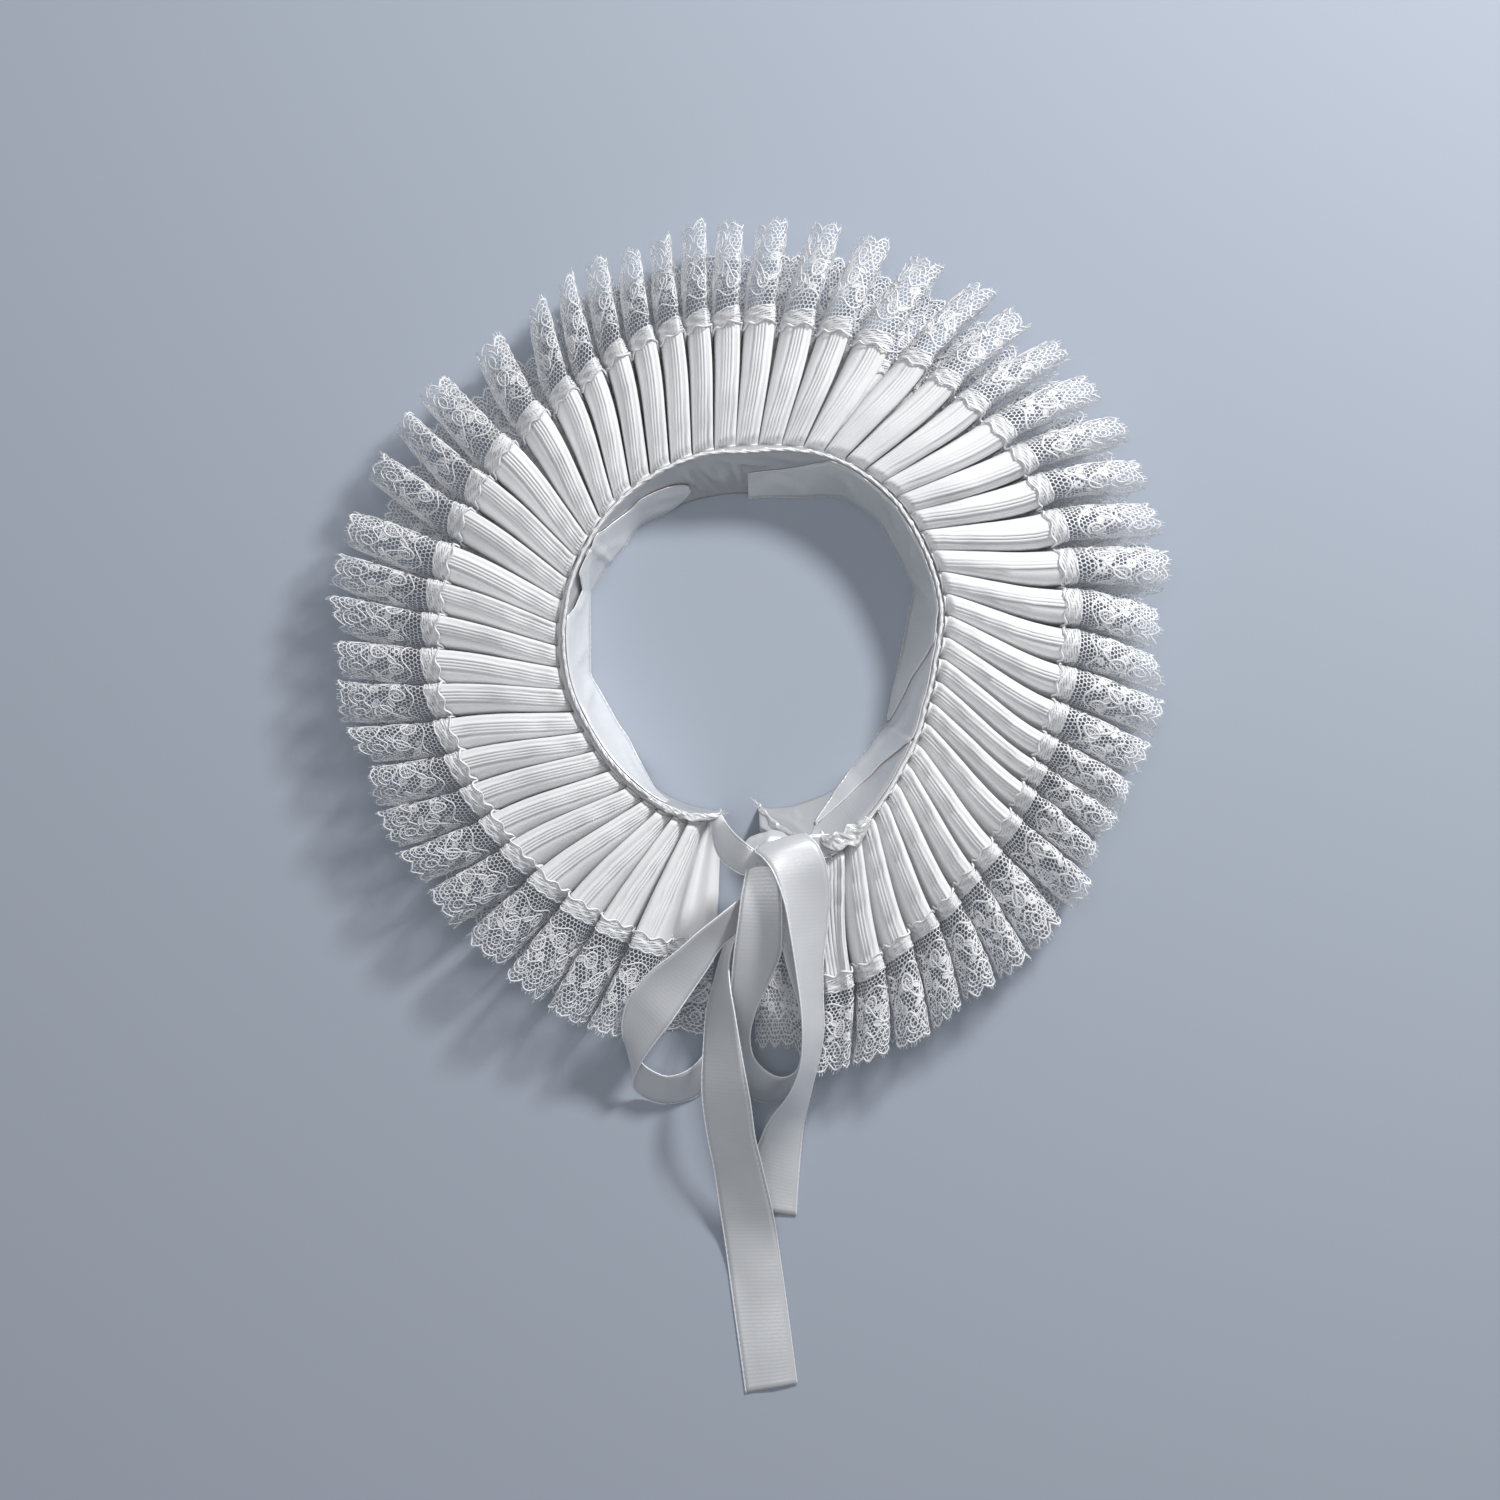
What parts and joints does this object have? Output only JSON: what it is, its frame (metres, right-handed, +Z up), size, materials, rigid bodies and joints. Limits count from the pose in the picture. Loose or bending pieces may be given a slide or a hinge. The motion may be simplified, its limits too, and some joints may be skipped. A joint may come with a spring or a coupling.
{
  "type": "pleated ruff false collar",
  "caption": "Deep pleated cloth ruff on a satin neck band, edged with lace and tied at the front with a satin ribbon bow, lying flat.",
  "frame": {"origin": "middle of the footprint, on the surface the collar lies on", "axes": "+Z up off that surface, +Y toward the back of the neck, the bow toward -Y, +X to the right as seen from above with the bow nearest"},
  "size_m": [0.2996, 0.4244, 0.0409],
  "materials": {
    "pleated_cloth": "white pleated plain weave with fine pin tucks along each crest",
    "lace": "white net lace with corded scallops",
    "satin": "white satin, soft sheen",
    "ribbon": "white double-faced satin ribbon with a fine woven edge"
  },
  "bodies": {
    "root": {"ruffle": "pleated_cloth", "lace_edging": "lace", "neck_band": "satin", "neck_ribbon": "ribbon", "tie_left": "ribbon", "tie_right": "ribbon", "bow_knot": "ribbon", "loop_left": "ribbon", "loop_right": "ribbon", "tail_long": "ribbon", "tail_short": "ribbon"}
  },
  "joints": []
}
